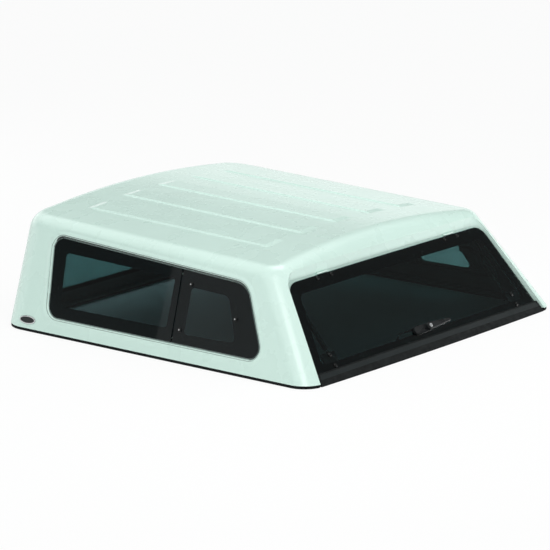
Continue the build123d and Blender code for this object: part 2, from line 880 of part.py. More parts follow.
def strut_tube():
    """Right-hand gas strut cylinder: eye, hollow tube and end gland."""
    end = strut_tube_share * strut_length()
    eye = extrude(Circle(strut_tube_radius), amount=strut_eye_width / 2, both=True)
    tube = along_strut(0, end, strut_tube_radius)
    bore = along_strut(2 * strut_tube_radius, end - strut_gland, strut_bore_radius)
    hole = strut_rod_radius + running_fit
    gland = along_strut(end - 2 * strut_gland, end + strut_gland, hole)
    flats = Box(3 * strut_tube_radius, 3 * strut_tube_radius, strut_tube_radius)
    side = strut_eye_width / 2 + strut_tube_radius / 2
    body = eye + tube - bore - gland
    body -= Pos(0, 0, side) * flats
    body -= Pos(0, 0, -side) * flats
    body -= Cylinder(strut_pin_radius + running_fit, big / 5)
    return in_door(strut_frame() * body)


def strut_rod():
    """Right-hand gas strut rod with its piston, eye and cross pin."""
    length = strut_length()
    start = 2 * strut_tube_radius + strut_piston_gap
    body = along_strut(start, length, strut_rod_radius)
    body += along_strut(start, start + strut_piston_length, strut_bore_radius - side_play)
    eye = Pos(length, 0, 0)
    body += eye * Cylinder(clevis_tip, strut_eye_width)
    body += eye * Cylinder(strut_pin_radius, clevis_gap - 2 * soft_gap)
    return in_door(strut_frame() * body)


def badge_plate():
    """Blank oval plate on the left side wall."""
    face = Pos(-badge_y, up_side(badge_z)) * Ellipse(badge_length / 2, badge_height / 2)
    return plate(side_plane(), face, -badge_thickness, badge_thickness)


def build():
    os.makedirs("parts", exist_ok=True)
    parts = {"shell": shell()}
    front, left, right = base_seal()
    parts["base_seal_front"] = front
    parts["base_seal_left"] = left
    parts["base_seal_right"] = right
    parts.update(mirrored(vent_fittings(side_window())))
    glass, gasket = front_window()
    parts["front_window_glass"] = glass
    parts["front_window_gasket"] = gasket
    parts["rear_door_glass"] = door_glass()
    parts["rear_door_rail"] = door_rail()
    parts["rear_door_rail_seal"] = door_rail_seal()
    parts["rear_door_seal"] = door_seal()
    for name, x in (("left", -hinge_x), ("right", hinge_x)):
        parts[name + "_hinge_fixed_leaf"] = hinge_fixed_leaf(x)
        parts[name + "_hinge_door_leaf"] = hinge_door_leaf(x)
    parts["handle_base"] = handle_base()
    parts["handle_lever"] = handle_lever()
    parts["lock_barrel"] = lock_barrel()
    parts["lock_cam"] = lock_cam()
    parts["right_lock_rod"] = lock_rod(1)
    parts["left_lock_rod"] = lock_rod(-1)
    sides = {
        "striker": striker(),
        "latch_bracket": latch_bracket(),
        "strut_bracket": strut_bracket(),
        "strut_tube": strut_tube(),
        "strut_rod": strut_rod(),
    }
    for name, solid in sides.items():
        parts["right_" + name] = solid
        parts["left_" + name] = mirror(solid, about=Plane.YZ)
    parts["badge_plate"] = badge_plate()
    for name, solid in parts.items():
        export_step(solid, "parts/" + name + ".step")


build()
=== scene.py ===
from math import cos, radians, sin, tan, pi

import bmesh
import bpy
from mathutils import Matrix, Vector


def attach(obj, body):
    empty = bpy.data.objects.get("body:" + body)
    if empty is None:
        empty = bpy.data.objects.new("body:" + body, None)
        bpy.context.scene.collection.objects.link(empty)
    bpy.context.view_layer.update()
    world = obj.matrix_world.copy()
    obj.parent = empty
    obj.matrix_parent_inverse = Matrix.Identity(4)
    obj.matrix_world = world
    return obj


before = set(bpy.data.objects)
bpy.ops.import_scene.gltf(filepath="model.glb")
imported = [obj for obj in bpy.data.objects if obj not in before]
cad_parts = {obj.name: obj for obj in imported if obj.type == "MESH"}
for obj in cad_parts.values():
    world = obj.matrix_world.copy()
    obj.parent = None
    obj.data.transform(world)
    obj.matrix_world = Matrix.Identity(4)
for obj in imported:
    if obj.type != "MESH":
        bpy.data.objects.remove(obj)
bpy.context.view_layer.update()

bl_info = {
    "name": "Pickup Truck Canopy",
    "version": (1, 0, 0),
    "blender": (4, 5, 0),
    "location": "View3D > Sidebar > Canopy",
    "description": "Finishes and fittings of a fibreglass canopy for a pickup tray",
    "category": "Object",
}

ROOT = "canopy"
DOOR = "rear_door"
HANDLE = "door_handle"
SIDES = ((-1, "left"), (1, "right"))
# Turns a shape over, so that it points into the shell
INWARD = Matrix.Rotation(pi, 4, "X")


# Settings


def length(name, description, default):
    return bpy.props.FloatProperty(
        name=name, description=description, default=default, unit="LENGTH", subtype="DISTANCE"
    )


def angle(name, description, degrees):
    return bpy.props.FloatProperty(
        name=name, description=description, default=radians(degrees), unit="ROTATION",
        subtype="ANGLE"
    )


def colour(name, description, default):
    return bpy.props.FloatVectorProperty(
        name=name, description=description, default=default, size=3, min=0, max=1, subtype="COLOR"
    )


def amount(name, description, default):
    return bpy.props.FloatProperty(name=name, description=description, default=default, min=0)


class CanopySizes(bpy.types.PropertyGroup):
    base_half: length("Base half width", "Half width of the shell at its foot", 0.8065)
    side_lean: angle("Side lean", "Inward lean of the side walls", 20.4)
    rear_y: length("Rear foot", "Middle of the rear wall at its foot", -0.801)
    rear_lean: angle("Rear lean", "Forward lean of the rear wall", 35.6)
    rear_bow: length("Rear bow", "Radius of the rear wall seen from above", 24.16)
    door_top: length("Door top", "Height of the top edge of the door glass", 0.346)
    door_half: length("Door half width", "Half width of the door glass at its top", 0.6145)
    door_flare: amount("Door flare", "Sideways growth of the glass per length downward", 0.253)
    door_glass_depth: length("Door glass depth", "Door glass below the rear surface", 0.014)
    door_glass_thickness: length("Door glass thickness", "Thickness of the door glass", 0.005)
    handle_y: length("Handle place", "Handle down the slope", -0.32703)
    handle_left: length("Handle left", "Left end of the handle's base", -0.088)
    handle_right: length("Handle right", "Right end of the handle's base", 0.020)
    handle_height: length("Handle height", "Height of the handle's base", 0.032)
    lock_top: length("Lock top", "Face of the lock barrel outside the rear surface", 0.0103)
    rail_top: length("Rail top", "Upper edge of the rail down the slope", -0.3655)
    pane_depth: length("Pane depth", "Side panes below the wall surface", 0.0045)
    pane_thickness: length("Pane thickness", "Thickness of the side panes", 0.004)
    plate_y: length("Plate place", "Middle of the oval plate along the canopy", 0.623)
    plate_z: length("Plate height", "Height of the oval plate's middle", 0.043)
    plate_length: length("Plate length", "Length of the oval plate", 0.080)
    plate_height: length("Plate width", "Height of the oval plate itself", 0.032)
    bolt_radius: length("Bolt radius", "Head radius of the door bolts", 0.0065)
    bolt_height: length("Bolt height", "Head height of the door bolts", 0.0038)
    vent_cap_radius: length("Vent cap radius", "Radius of the caps on the vent fixings", 0.0085)


class CanopyColours(bpy.types.PropertyGroup):
    gelcoat: colour("Gelcoat", "Outer colour of the shell", (0.665, 0.858, 0.785))
    flowcoat: colour("Flowcoat", "Inner colour of the shell", (0.018, 0.020, 0.022))
    pane_tint: colour("Pane tint", "Tint of the side and front glass", (0.18, 0.31, 0.315))
    door_tint: colour("Door tint", "Tint of the rear door glass", (0.27, 0.42, 0.42))
    pane_veil: colour("Side veil", "Light let in by the side panes", (0.24, 0.36, 0.37))
    front_veil: colour("Front veil", "Light let in by the front glass", (0.96, 0.98, 1.0))
    door_veil: colour("Door veil", "Light let in by the door glass", (0.10, 0.14, 0.15))
    border: colour("Glass border", "Fired border of the glass", (0.0032, 0.0062, 0.0072))
    rubber: colour("Rubber", "Seals and gaskets", (0.006, 0.0075, 0.0078))
    rail: colour("Rail", "Powder coat of the rail, posts and struts", (0.0060, 0.0105, 0.0112))
    plastic: colour("Plastic", "Handle and vent fixings", (0.0045, 0.0055, 0.006))
    zinc: colour("Zinc", "Plated strikers and nuts", (0.48, 0.49, 0.50))
    badge: colour("Plate", "Blank oval plate", (0.008, 0.009, 0.010))


class CanopyStudio(bpy.types.PropertyGroup):
    azimuth: angle("Azimuth", "Camera direction from straight behind", 51.316)
    elevation: angle("Elevation", "Camera height angle", 13.913)
    distance: length("Distance", "Camera distance from its target", 13.85)
    target: bpy.props.FloatVectorProperty(
        name="Target", description="Point the camera looks at", default=(-0.1127, -0.0733, 0.2),
        size=3, unit="LENGTH", subtype="TRANSLATION",
    )
    focal: amount("Focal length", "Lens in millimetres on a 36 mm sensor", 230.94)
    floor: colour("Floor", "Studio floor", (0.93, 0.93, 0.93))
    dome: amount("Dome", "Strength of the light dome overhead", 1.08)
    horizon: amount("Horizon", "Strength of the pale backdrop near the horizon", 0.95)
    ceiling: amount("Ceiling", "Strength of the dim band between backdrop and dome", 0.14)
    key: amount("Key", "Power of the high lamp at the rear left", 16.5)
    side: amount("Side", "Power of the large lamp at the left", 10.0)
    front: amount("Front", "Power of the large lamp ahead", 15.0)
    crown: amount("Crown", "Power of the small lamp over the roof", 6.5)
    rear: amount("Rear", "Power of the lamp straight behind", 5.0)
    low: amount("Low", "Power of the low lamp behind on the right", 18.0)


def sizes():
    return bpy.context.scene.canopy_sizes


def colours():
    return bpy.context.scene.canopy_colours


def studio():
    return bpy.context.scene.canopy_studio


# Places on the shell


def door_matrix():
    """The rear wall's plane: local x right, y up the slope, z outward, from the glass top."""
    s = sizes()
    lean = s.rear_lean
    origin = Vector((0, s.rear_y + s.door_top * tan(lean), s.door_top))
    axes = Matrix(((1, 0, 0), (0, sin(lean), -cos(lean)), (0, cos(lean), sin(lean))))
    return Matrix.Translation(origin) @ axes.to_4x4()


def door_sag(x):
    """Depth of the bow at x, measured from the middle."""
    s = sizes()
    return x * x * cos(s.rear_lean) / (2 * s.rear_bow)


def door_reach(y):
    """Half width of the door glass at y down the slope."""
    s = sizes()
    return s.door_half - s.door_flare * y


def on_door(x, y, depth):
    """A point at x and y on the slope, some depth under the bowed rear surface."""
    return door_matrix() @ Vector((x, y, -depth - door_sag(x)))


def side_matrix(side):
    """The side wall's plane at its foot: local x rearward, y up the slope, z outward."""
    s = sizes()
    lean = s.side_lean
    axes = Matrix((
        (0, -side * sin(lean), side * cos(lean)),
        (-1, 0, 0),
        (0, cos(lean), sin(lean)),
    ))
    return Matrix.Translation((side * s.base_half, 0, 0)) @ axes.to_4x4()


def on_side(side, y, z, depth):
    """A point under the side wall's surface, from its place along and over the foot."""
    return side_matrix(side) @ Vector((-y, z / cos(sizes().side_lean), -depth))


def on_wall(corners, radii, steps=8):
    """Rounded outline in the side wall's plane, from (y, z) corners."""
    rise = 1 / cos(sizes().side_lean)
    return rounded([(-y, z * rise) for y, z in corners], radii, steps)


def frame_at(point, matrix):
    """A frame with the axes of a plane and its origin at a point."""
    return Matrix.Translation(point) @ matrix.to_3x3().to_4x4()


# Meshes

SHARP_ANGLE = radians(35)


def piece(name, shape, look, body, smooth=True, place=None):
    """A mesh object of vertices and faces with one finish, riding on a body."""
    verts, faces = shape
    mesh = bpy.data.meshes.new(name)
    mesh.from_pydata([tuple(v) for v in verts], [], faces)
    if place is not None:
        mesh.transform(place)
    work = bmesh.new()
    work.from_mesh(mesh)
    bmesh.ops.recalc_face_normals(work, faces=work.faces)
    work.to_mesh(mesh)
    work.free()
    mesh.materials.append(finish(look))
    made = bpy.data.objects.new(name, mesh)
    bpy.context.scene.collection.objects.link(made)
    if smooth:
        mesh.shade_smooth()
        mesh.set_sharp_from_angle(angle=SHARP_ANGLE)
    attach(made, body)


def rounded(corners, radii, steps=8):
    """Points of a convex outline with each corner rounded."""
    points = []
    for i, corner in enumerate(corners):
        here = Vector(corner)
        back = (Vector(corners[i - 1]) - here).normalized()
        ahead = (Vector(corners[(i + 1) % len(corners)]) - here).normalized()
        half = back.angle(ahead) / 2
        radius = radii[i]
        start = here + back * radius / tan(half)
        centre = here + (back + ahead).normalized() * radius / sin(half)
        turn = (pi - 2 * half) * (1 if back.cross(ahead) < 0 else -1)
        for k in range(steps + 1):
            arm = start - centre
            arm.rotate(Matrix.Rotation(turn * k / steps, 2))
            points.append(centre + arm)
    return points


def grown(points, reach):
    """A closed outline moved outward, for points that run clockwise or the other way."""
    count = len(points)
    area = sum(points[i].cross(points[(i + 1) % count]) for i in range(count))
    way = 1 if area > 0 else -1
    moved = []
    for i, point in enumerate(points):
        along = (points[(i + 1) % count] - points[i - 1]).normalized()
        moved.append(point + Vector((along.y, -along.x)) * way * reach)
    return moved


def finer(points, spans):
    """A closed outline with each of its lines split evenly."""
    split = []
    for i, point in enumerate(points):
        ahead = points[(i + 1) % len(points)]
        split += [point.lerp(ahead, k / spans) for k in range(spans)]
    return split


def turns(steps):
    """Angles of even steps round a circle."""
    return [2 * pi * k / steps for k in range(steps)]


def woven(loops, joined=False, capped=False):
    """Faces between neighbouring closed loops with equal counts.

    The last loop may be joined to the first, or both end loops capped.
    """
    count = len(loops[0])
    verts = [point for loop in loops for point in loop]
    faces = []
    for k in range(len(loops) if joined else len(loops) - 1):
        low, high = k * count, (k + 1) % len(loops) * count
        for i in range(count):
            j = (i + 1) % count
            faces.append((low + i, low + j, high + j, high + i))
    if capped:
        faces += [tuple(range(count)), tuple(range(len(verts) - count, len(verts)))]
    return verts, faces


def turned(profile, steps=28):
    """Body of revolution round local z from (radius, height) pairs, ends on the axis."""
    verts, faces, rows = [], [], []
    for radius, height in profile:
        if radius == 0:
            rows.append([len(verts)])
            verts.append((0, 0, height))
        else:
            rows.append(range(len(verts), len(verts) + steps))
            verts += [(radius * cos(a), radius * sin(a), height) for a in turns(steps)]
    for low, high in zip(rows, rows[1:]):
        for k in range(steps):
            a, b = low[k % len(low)], low[(k + 1) % len(low)]
            c, d = high[(k + 1) % len(high)], high[k % len(high)]
            faces.append(tuple(dict.fromkeys((a, b, c, d))))
    return verts, faces


def gathered(parts):
    """One vertex and face list from several, each with its own place."""
    verts, faces = [], []
    for (some, these), place in parts:
        start = len(verts)
        verts += [place @ Vector(v) for v in some]
        faces += [tuple(start + i for i in f) for f in these]
    return verts, faces


def mirrored(shape, points, depth, flip=Matrix()):
    """One shape set at (x, y) points of the rear slope and at their mirror images."""
    parts = []
    for x, y in points:
        for side, _ in SIDES:
            place = frame_at(on_door(side * x, y, depth), door_matrix())
            parts.append((shape, place @ flip))
    return gathered(parts)


def domed_head(radius, height, rim):
    """Low domed head on a flat rim."""
    inner, shoulder = radius - rim, rim * 0.5
    arc = [(inner * cos(a), shoulder + (height - shoulder) * sin(a))
           for a in (0, 0.3, 0.6, 0.9, 1.2, 1.4)]
    return turned([(0, 0), (radius, 0), (radius, rim * 0.35), (radius - rim * 0.2, shoulder)]
                  + arc + [(0, height)])


def nut(radius, height, bore):
    """Hexagonal nut on a washer, with the rounded end of its bolt."""
    washer_height, end_height, end_bevel = 0.0009, 0.0012, 0.0004
    loops = [[(radius * cos(a), radius * sin(a), z) for a in turns(6)]
             for z in (washer_height, height)]
    washer = turned([(0, 0), (radius * 1.3, 0), (radius * 1.3, washer_height), (0, washer_height)])
    end = turned([(bore, height), (bore, height + end_height - end_bevel),
                  (bore * 0.7, height + end_height), (0, height + end_height)])
    same = Matrix()
    return gathered([(part, same) for part in (woven(loops, capped=True), washer, end)])


def screw_head(radius, height):
    """Raised countersunk head with a recess in its middle."""
    return turned([
        (0, 0), (radius, 0), (radius * 0.97, height * 0.45), (radius * 0.8, height * 0.85),
        (radius * 0.5, height), (radius * 0.38, height), (radius * 0.3, height * 0.3),
        (0, height * 0.3),
    ])


def ring(inner, outer, height):
    """Flat ring with softened edges."""
    mid = (inner + outer) / 2
    loop = [(inner, 0), (inner, height * 0.7), (mid * 0.5 + inner * 0.5, height), (mid, height),
            (mid * 0.5 + outer * 0.5, height), (outer, height * 0.7), (outer, 0)]
    return woven([[(r * cos(a), r * sin(a), z) for r, z in loop] for a in turns(36)], joined=True)


def socket_head(radius, height):
    """Button head with a round washer under it and a socket in its top."""
    hole = radius * 0.42
    washer, washer_height = radius * 1.35, 0.0010
    return turned([
        (0, 0), (washer, 0), (washer, washer_height), (radius * 1.02, washer_height + 0.0003),
        (radius, washer_height + 0.0006), (radius * 0.96, height * 0.62),
        (radius * 0.78, height * 0.9),
        (radius * 0.58, height), (hole, height), (hole * 0.92, height * 0.45), (0, height * 0.45),
    ])


# Finishes


class Nodes:
    """Short ways to add nodes to a tree."""

    def __init__(self, tree):
        self.tree = tree

    def put(self, node, values):
        """Links or sets a node's inputs."""
        for key, value in values.items():
            if isinstance(value, bpy.types.NodeSocket):
                self.tree.links.new(value, node.inputs[key])
            else:
                node.inputs[key].default_value = value

    def add(self, kind, values=None, **settings):
        node = self.tree.nodes.new(kind)
        for key, value in settings.items():
            setattr(node, key, value)
        self.put(node, values or {})
        return node

    def math(self, operation, a, b=0.0):
        return self.add("ShaderNodeMath", {0: a, 1: b}, operation=operation).outputs[0]

    def clamp(self, value, low, high):
        return self.add("ShaderNodeClamp", {"Value": value, "Min": low, "Max": high}).outputs[0]


class Finish(Nodes):
    """Node material built round one shader."""

    def __init__(self, name, colour, roughness, **sockets):
        self.material = bpy.data.materials.new(name)
        self.material.use_nodes = True
        super().__init__(self.material.node_tree)
        self.shader = self.tree.nodes["Principled BSDF"]
        self.output = self.tree.nodes["Material Output"]
        self.put(self.shader, {"Base Color": (*colour, 1), "Roughness": roughness, **sockets})
        self.place = self.add("ShaderNodeTexCoord").outputs["Object"]
        self.normal = None

    def noise(self, scale, detail=3.0, roughness=0.5, stretch=None):
        place = self.place
        if stretch:
            place = self.add("ShaderNodeMapping", {"Vector": place, "Scale": stretch}).outputs[0]
        return self.add("ShaderNodeTexNoise", {
            "Vector": place, "Scale": scale, "Detail": detail, "Roughness": roughness,
        }).outputs["Fac"]

    def cells(self, scale):
        node = self.add("ShaderNodeTexVoronoi", {"Vector": self.place, "Scale": scale})
        return node.outputs["Distance"]

    def between(self, value, low, high, to_low, to_high):
        """Stretches a value from one span to another."""
        return self.add("ShaderNodeMapRange", {
            "Value": value, "From Min": low, "From Max": high, "To Min": to_low, "To Max": to_high,
        }).outputs[0]

    def drift(self, value, low, high):
        """Spreads a noise between two values."""
        return self.between(value, 0.3, 0.7, low, high)

    def mix(self, factor, a, b):
        """Blends two colours, each a node's output or plain."""
        a, b = [v if isinstance(v, bpy.types.NodeSocket) else (*v, 1) for v in (a, b)]
        node = self.add("ShaderNodeMix", data_type="RGBA")
        self.put(node, {0: factor, 6: a, 7: b})
        return node.outputs[2]

    def bump(self, height, strength, distance):
        """Adds a layer of relief over the ones before."""
        values = {"Height": height, "Strength": strength, "Distance": distance}
        if self.normal:
            values["Normal"] = self.normal
        self.normal = self.add("ShaderNodeBump", values).outputs[0]
        self.put(self.shader, {"Normal": self.normal})

    def paint(self, value):
        self.put(self.shader, {"Base Color": value})

    def rough(self, value):
        self.put(self.shader, {"Roughness": value})

    def cover(self, factor, other):
        """Blends the shader with another one."""
        both = self.add("ShaderNodeMixShader", {
            0: factor, 1: self.shader.outputs[0], 2: other.outputs[0],
        })
        self.put(self.output, {"Surface": both.outputs[0]})


def shaded(colour, factor):
    return tuple(min(1.0, c * factor) for c in colour)


# Middle of the shell's hollow: span across, span along and height
HOLLOW_X = (-0.60, 0.60)
HOLLOW_Y = (-0.35, 0.60)
HOLLOW_Z = 0.10


def inward_mask(finish):
    """One where a surface faces the middle of the shell, zero on the outside."""
    place = finish.add("ShaderNodeSeparateXYZ", {0: finish.place}).outputs
    middle = finish.add("ShaderNodeCombineXYZ", {
        0: finish.clamp(place[0], *HOLLOW_X),
        1: finish.clamp(place[1], *HOLLOW_Y),
        2: HOLLOW_Z,
    }).outputs[0]
    away = finish.add("ShaderNodeVectorMath", {0: finish.place, 1: middle}, operation="SUBTRACT")
    facing = finish.add("ShaderNodeNewGeometry").outputs["Normal"]
    dot = finish.add("ShaderNodeVectorMath", {0: away.outputs[0], 1: facing},
                     operation="DOT_PRODUCT")
    return finish.math("LESS_THAN", dot.outputs["Value"], 0.0)


GLOSS = {"Coat Weight": 0.6, "Coat Roughness": 0.16, "Coat IOR": 1.5}


def gelcoat():
    """Glossy pearl gelcoat outside, speckled flowcoat inside."""
    c = colours()
    f = Finish("gelcoat", c.gelcoat, 0.3, **{"Specular IOR Level": 0.45}, **GLOSS)
    outer = f.mix(f.between(f.noise(2.2, 2), 0.35, 0.65, 0, 1),
                  shaded(c.gelcoat, 0.985), shaded(c.gelcoat, 1.01))
    flakes = f.between(f.cells(1400), 0.0, 0.28, 1.0, 0.0)
    outer = f.mix(f.math("MULTIPLY", flakes, 0.04), outer, (0.90, 0.97, 0.94))
    speck = f.between(f.noise(520, 2), 0.52, 0.62, 0, 1)
    inner = f.mix(speck, c.flowcoat, shaded(c.flowcoat, 2.1))
    inward = inward_mask(f)
    f.paint(f.mix(inward, outer, inner))
    f.rough(f.math("ADD", f.drift(f.noise(9, 4), 0.24, 0.32),
                   f.math("MULTIPLY", inward, 0.35)))
    f.bump(f.noise(38, 2), 0.05, 0.004)
    f.bump(f.noise(700, 2), 0.02, 0.0005)
    return f.material


def tinted(name, tint, veil):
    """Tinted glass; light on its way inside takes the veil's colour at each face."""
    f = Finish(name, tint, 0.0, **{
        "Transmission Weight": 1.0, "IOR": 1.45, "Specular IOR Level": 0.4,
    })
    f.rough(f.between(f.noise(6, 3), 0.35, 0.7, 0.006, 0.035))
    f.bump(f.noise(3.5, 1), 0.02, 0.004)
    thin = f.add("ShaderNodeBsdfTransparent", {"Color": (*veil, 1)})
    path = f.add("ShaderNodeLightPath").outputs
    f.cover(f.math("MAXIMUM", path["Is Shadow Ray"], path["Is Diffuse Ray"]), thin)
    return f.material


def fired_border():
    """Black ceramic border with a fine dotted grain."""
    f = Finish("fired_border", colours().border, 0.2, **{"Specular IOR Level": 0.2})
    grain = f.noise(900, 2)
    f.paint(f.mix(grain, colours().border, shaded(colours().border, 1.6)))
    f.rough(f.drift(f.noise(40, 3), 0.16, 0.28))
    f.bump(grain, 0.05, 0.0002)
    return f.material


def rubber():
    """Matt extruded rubber with a faint grain and dust."""
    f = Finish("rubber", colours().rubber, 0.7, **{"Specular IOR Level": 0.12})
    dust = f.between(f.noise(14, 4, 0.6), 0.45, 0.75, 0, 0.5)
    f.paint(f.mix(dust, colours().rubber, shaded(colours().rubber, 2.2)))
    f.rough(f.drift(f.noise(60, 3), 0.58, 0.8))
    f.bump(f.noise(1100, 2), 0.25, 0.0004)
    f.bump(f.noise(120, 3), 0.12, 0.0008)
    return f.material


def powder_coat():
    """Black powder coat with its orange-peel grain and a few light scuffs."""
    c = colours().rail
    f = Finish("powder_coat", c, 0.42, **{"Specular IOR Level": 0.24})
    scuff = f.between(f.noise(22, 5, 0.7, (0.25, 1, 1)), 0.60, 0.78, 0, 0.6)
    f.paint(f.mix(scuff, c, shaded(c, 1.9)))
    f.rough(f.drift(f.noise(18, 4), 0.34, 0.52))
    f.bump(f.noise(650, 3), 0.22, 0.0005)
    return f.material


def moulded_plastic():
    """Black moulded plastic with a fine spark-eroded texture."""
    c = colours().plastic
    f = Finish("moulded_plastic", c, 0.3, **{"Specular IOR Level": 0.3, "Coat Weight": 0.05})
    f.paint(f.mix(f.noise(12, 4), c, shaded(c, 1.8)))
    f.rough(f.drift(f.noise(30, 4), 0.2, 0.36))
    f.bump(f.noise(1600, 2), 0.15, 0.0002)
    return f.material


def painted_metal():
    """Gloss paint of the shell's colour over metal."""
    c = colours().gelcoat
    f = Finish("painted_metal", c, 0.3, **GLOSS)
    f.paint(f.mix(f.noise(30, 3), shaded(c, 0.94), c))
    f.rough(f.drift(f.noise(24, 3), 0.26, 0.36))
    f.bump(f.noise(420, 2), 0.05, 0.0002)
    return f.material


def zinc_plate():
    """Dull zinc plating with its mottled spangle."""
    c = colours().zinc
    f = Finish("zinc_plate", c, 0.45, Metallic=1.0)
    spangle = f.cells(260)
    f.paint(f.mix(spangle, shaded(c, 0.8), shaded(c, 1.15)))
    f.rough(f.drift(f.noise(70, 4), 0.34, 0.58))
    f.bump(f.noise(400, 3), 0.1, 0.0002)
    return f.material


def polished():
    """Bright plated metal with faint handling marks."""
    f = Finish("polished", (0.86, 0.87, 0.88), 0.3, Metallic=1.0)
    marks = f.noise(60, 5, 0.7)
    f.paint(f.mix(marks, (0.80, 0.81, 0.82), (0.92, 0.93, 0.94)))
    f.rough(f.between(marks, 0.35, 0.75, 0.24, 0.42))
    return f.material


def plate_black():
    """Satin black of the blank oval plate."""
    c = colours().badge
    f = Finish("plate_black", c, 0.3, **{"Specular IOR Level": 0.5, "Coat Weight": 0.4})
    f.paint(f.mix(f.noise(60, 3), c, shaded(c, 1.5)))
    f.rough(f.drift(f.noise(35, 3), 0.22, 0.36))
    f.bump(f.noise(900, 2), 0.08, 0.0002)
    return f.material


def ground_edge():
    """Ground and polished edge of the panes, painted pale green all round as the highlight that
    the edge catches.
    """
    f = Finish("ground_edge", (0.22, 0.30, 0.28), 0.35, **{"Specular IOR Level": 0.6})
    f.paint(f.mix(f.noise(220, 3), (0.16, 0.23, 0.21), (0.30, 0.38, 0.36)))
    f.rough(f.drift(f.noise(400, 3), 0.25, 0.45))
    f.bump(f.noise(1500, 2), 0.1, 0.0001)
    return f.material


def sealer():
    """Grey elastic sealer in the groove round a window, painted shade: a half-dark copy of the
    gelcoat colour that stands for the shade in the groove.
    """
    f = Finish("sealer", (0.34, 0.44, 0.40), 0.6, **{"Specular IOR Level": 0.3})
    f.paint(f.mix(f.noise(45, 4), (0.29, 0.38, 0.35), (0.39, 0.50, 0.46)))
    f.rough(f.drift(f.noise(90, 3), 0.5, 0.72))
    f.bump(f.noise(260, 3), 0.15, 0.0003)
    return f.material


def black_bolt():
    """Blacked steel, worn a little brighter in patches."""
    blacked = (0.003, 0.004, 0.004)
    f = Finish("black_bolt", blacked, 0.2, **{"Specular IOR Level": 0.28, "Coat Weight": 0.1})
    worn = f.between(f.noise(300, 3), 0.55, 0.75, 0, 0.35)
    f.paint(f.mix(worn, blacked, (0.016, 0.018, 0.019)))
    f.rough(f.drift(f.noise(150, 3), 0.12, 0.26))
    f.bump(f.noise(900, 2), 0.1, 0.0002)
    return f.material


MAKERS = {
    "black_bolt": black_bolt,
    "ground_edge": ground_edge,
    "sealer": sealer,
    "gelcoat": gelcoat,
    "pane_glass": lambda: tinted("pane_glass", colours().pane_tint, colours().pane_veil),
    "front_glass": lambda: tinted("front_glass", colours().pane_tint, colours().front_veil),
    "door_glass": lambda: tinted("door_glass", colours().door_tint, colours().door_veil),
    "fired_border": fired_border,
    "rubber": rubber,
    "powder_coat": powder_coat,
    "moulded_plastic": moulded_plastic,
    "painted_metal": painted_metal,
    "zinc_plate": zinc_plate,
    "polished": polished,
    "plate_black": plate_black,
}
MADE = {}


def finish(name):
    if name not in MADE:
        MADE[name] = MAKERS[name]()
    return MADE[name]


def dress(name, *nodes):
    """Gives CAD nodes a finish."""
    for node in nodes:
        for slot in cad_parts[node].material_slots:
            slot.material = finish(name)


def both_sides(name):
    return "left_" + name, "right_" + name


# Pieces


class CanopyOperator:
    bl_options = {"REGISTER", "UNDO"}


class CANOPY_OT_shell(CanopyOperator, bpy.types.Operator):
    """Gelcoat on the shell and rubber under its foot"""
    bl_idname = "canopy.shell"
    bl_label = "Shell"

    def execute(self, context):
        dress("gelcoat", "shell")
        dress("rubber", "base_seal_front", "base_seal_left", "base_seal_right")
        return {"FINISHED"}


# Corners of the side windows as (y, z) pairs, with the radius of each
WINDOW = ((0.527, 0.070), (0.582, 0.3655), (-0.399, 0.3235), (-0.543, 0.070))
WINDOW_RADII = (0.058, 0.042, 0.092, 0.040)
# Black borders of the panes: corners and radii of the edge and of the clear middle
BORDERS = (
    ("front_pane",
     ((0.526, 0.0705), (0.581, 0.365), (-0.0745, 0.337), (-0.0955, 0.0705)),
     (0.0565, 0.0405, 0.001, 0.001),
     ((0.480, 0.115), (0.507, 0.3125), (-0.050, 0.2985), (-0.059, 0.118)),
     (0.03, 0.016, 0.010, 0.014)),
    ("vent_pane",
     ((-0.1015, 0.0705), (-0.0805, 0.337), (-0.3988, 0.323), (-0.5425, 0.0705)),
     (0.001, 0.001, 0.0905, 0.0385),
     ((-0.150, 0.108), (-0.139, 0.277), (-0.322, 0.272), (-0.398, 0.113)),
     (0.014, 0.014, 0.04, 0.016)),
)
# How far a border lies inside the glass
BORDER_SINK = 0.0003
# Bands round a window: distance outside the glass and height over the wall
RIM = ((0.0026, -0.0045), (0.0034, -0.0034), (0.0050, -0.0010), (0.0066, 0.0004),
       (0.0078, 0.0004), (0.0078, -0.0006), (0.0106, -0.0006), (0.0106, 0.0010),
       (0.0120, 0.0024), (0.0145, 0.0032), (0.0175, 0.0030), (0.0215, 0.0018),
       (0.0255, 0.0006), (0.0290, 0.0))
# Sealer bead in the groove, its grey painted shade of the groove
SEALER_AND_GROOVE_SHADE = ((0.0077, -0.0010), (0.0077, 0.0003), (0.0092, 0.0007), (0.0107, 0.0003),
          (0.0107, -0.0010))
# Glass edge band: a real ground edge, painted pale as its highlight
GLASS_EDGE = ((-0.0015, -0.0044), (-0.0012, -0.0041), (-0.0005, -0.0041), (0.0, -0.0048),
              (0.0, -0.0075))
# Middles of the vent fixings, height of the caps over the glass and of the pins over that
VENT_CAPS = ((-0.135, 0.287), (-0.128, 0.120), (-0.378, 0.197))
CAP_STAND = 0.0029
PIN_STAND = 0.0024


